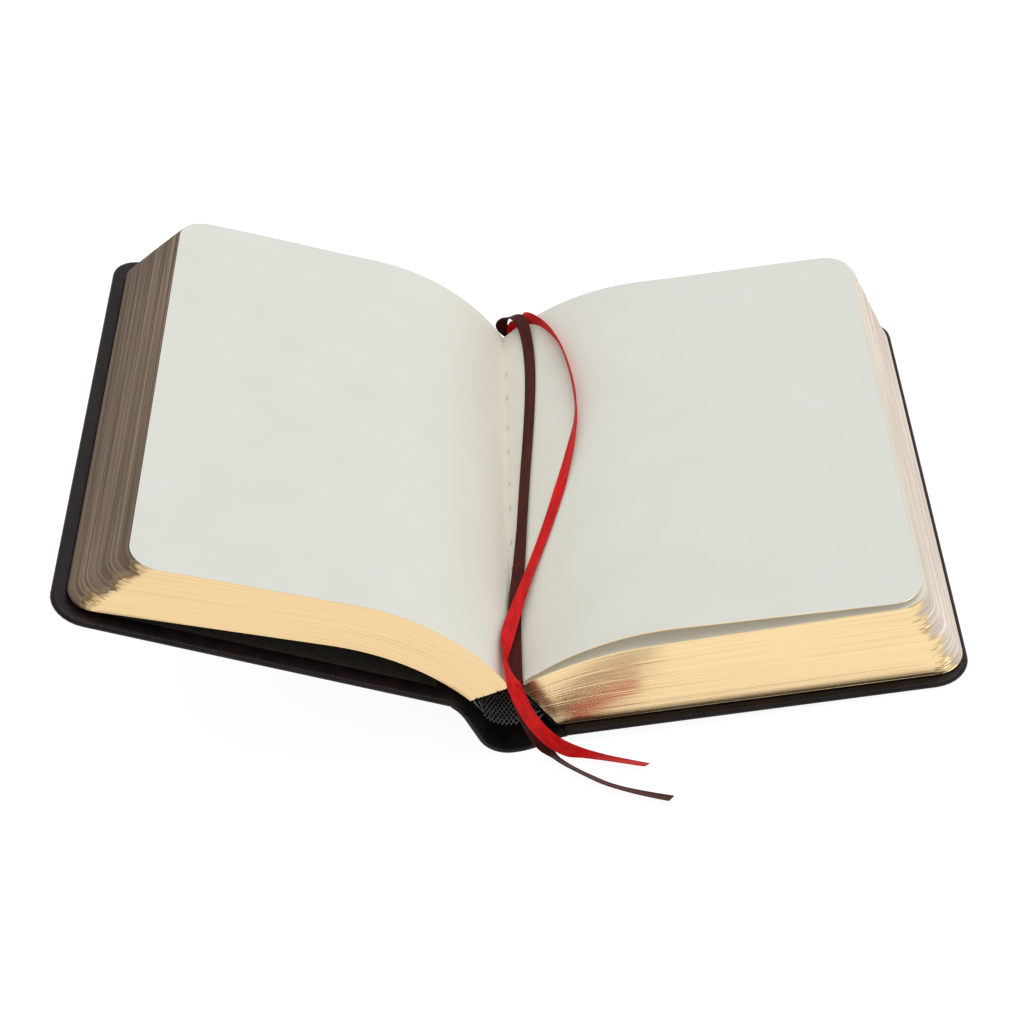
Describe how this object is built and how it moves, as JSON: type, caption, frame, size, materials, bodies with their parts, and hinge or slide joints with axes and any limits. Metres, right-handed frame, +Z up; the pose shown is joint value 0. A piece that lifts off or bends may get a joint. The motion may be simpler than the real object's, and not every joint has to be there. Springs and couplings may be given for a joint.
{
  "type": "prayer book",
  "caption": "Small leather-bound gilt-edged prayer book lying open, with a hollow flexible spine, hinged covers, turning leaves and two ribbon markers.",
  "frame": {"origin": "under the middle of the open book, on the surface it rests on", "axes": "+X across the open book towards the back cover, +Y along the spine from the tail of the pages to their head, +Z up"},
  "size_m": [0.2376, 0.2036, 0.0857],
  "materials": {
    "black_leather": "satin",
    "cover_board": "matte",
    "black_endpaper": "matte",
    "lining_cloth": "matte",
    "sewing_thread": "matte",
    "gilt_pages": "matte",
    "red_ribbon": "satin",
    "brown_ribbon": "satin"
  },
  "bodies": {
    "back_half": {"back_cover_leather": "black_leather", "back_board": "cover_board", "back_pastedown": "black_endpaper", "back_joint_leather": "black_leather", "back_section_1_gutter": "gilt_pages", "back_section_1": "gilt_pages", "back_section_2_gutter": "gilt_pages", "back_section_2": "gilt_pages", "back_section_3_gutter": "gilt_pages", "back_section_3": "gilt_pages", "back_section_4_gutter": "gilt_pages", "back_section_4": "gilt_pages", "back_section_5_gutter": "gilt_pages", "back_section_5": "gilt_pages", "back_flyleaf_gutter": "gilt_pages", "back_flyleaf": "gilt_pages", "red_ribbon": "red_ribbon", "brown_ribbon": "brown_ribbon"},
    "block_back": {"front_mull": "lining_cloth", "back_mull": "lining_cloth", "ribbon_anchor": "lining_cloth", "sewing_stitches": "sewing_thread", "front_top_leaf_gutter": "gilt_pages", "front_section_1_gutter": "gilt_pages", "front_section_2_gutter": "gilt_pages", "front_section_3_gutter": "gilt_pages", "front_section_4_gutter": "gilt_pages", "front_flyleaf_gutter": "gilt_pages"},
    "spine": {"spine_leather": "black_leather", "spine_tail_turn_in": "black_leather", "spine_head_turn_in": "black_leather", "spine_lining_cloth": "lining_cloth"},
    "front_joint": {"front_joint_leather": "black_leather"},
    "front_cover": {"front_cover_leather": "black_leather", "front_board": "cover_board", "front_pastedown": "black_endpaper"},
    "front_leaves": {"front_top_leaf": "gilt_pages", "front_section_1": "gilt_pages", "front_section_2": "gilt_pages", "front_section_3": "gilt_pages", "front_section_4": "gilt_pages", "front_flyleaf": "gilt_pages"},
    "raised_leaf": {"raised_leaf": "gilt_pages"}
  },
  "joints": [
    {"name": "spine_hinge", "type": "hinge", "parent": "back_half", "child": "spine", "pos_m": [0.00679, 0, 0.0041], "axis": [0, 1, 0], "range_deg": [-6.64, 55.34], "deforming": ["back_joint_leather"]},
    {"name": "block_back_turn", "type": "hinge", "parent": "back_half", "child": "block_back", "pos_m": [0.00679, 0, 0.0041], "axis": [0, 1, 0], "range_deg": [-5.18, 41.7], "deforming": ["back_section_1_gutter", "back_section_2_gutter", "back_section_3_gutter", "back_section_4_gutter", "back_section_5_gutter", "back_flyleaf_gutter", "front_mull"]},
    {"name": "front_leaves_turn", "type": "hinge", "parent": "block_back", "child": "front_leaves", "pos_m": [-0.01169, 0, 0.03955], "axis": [0, 1, 0], "range_deg": [-14.44, 116.7], "deforming": ["front_top_leaf_gutter", "front_section_1_gutter", "front_section_2_gutter", "front_section_3_gutter", "front_section_4_gutter", "front_flyleaf_gutter"]},
    {"name": "spine_flattening", "type": "slide", "parent": "spine", "child": "front_joint", "axis": [-0.848, 0, 0.53], "range_m": [-0.00199, 0.01582], "deforming": ["spine_leather", "spine_tail_turn_in", "spine_head_turn_in", "spine_lining_cloth"]},
    {"name": "front_cover_hinge", "type": "hinge", "parent": "front_joint", "child": "front_cover", "pos_m": [-0.02006, 0, 0.02088], "axis": [0, 1, 0], "range_deg": [-11.74, 95.66], "deforming": ["front_joint_leather"]},
    {"name": "raised_leaf_turn", "type": "hinge", "parent": "back_half", "child": "raised_leaf", "pos_m": [0.0014, 0, 0.03872], "axis": [0, 1, 0], "range_deg": [-150, 0], "deforming": ["raised_leaf"]}
  ],
  "couplings": [
    {"joint": "block_back_turn", "follows": "spine_hinge", "ratio": 0.75},
    {"joint": "front_leaves_turn", "follows": "spine_hinge", "ratio": 2.0998},
    {"joint": "spine_flattening", "follows": "spine_hinge", "m_per_rad": 0.016277},
    {"joint": "front_cover_hinge", "follows": "spine_hinge", "ratio": 1.7233}
  ]
}
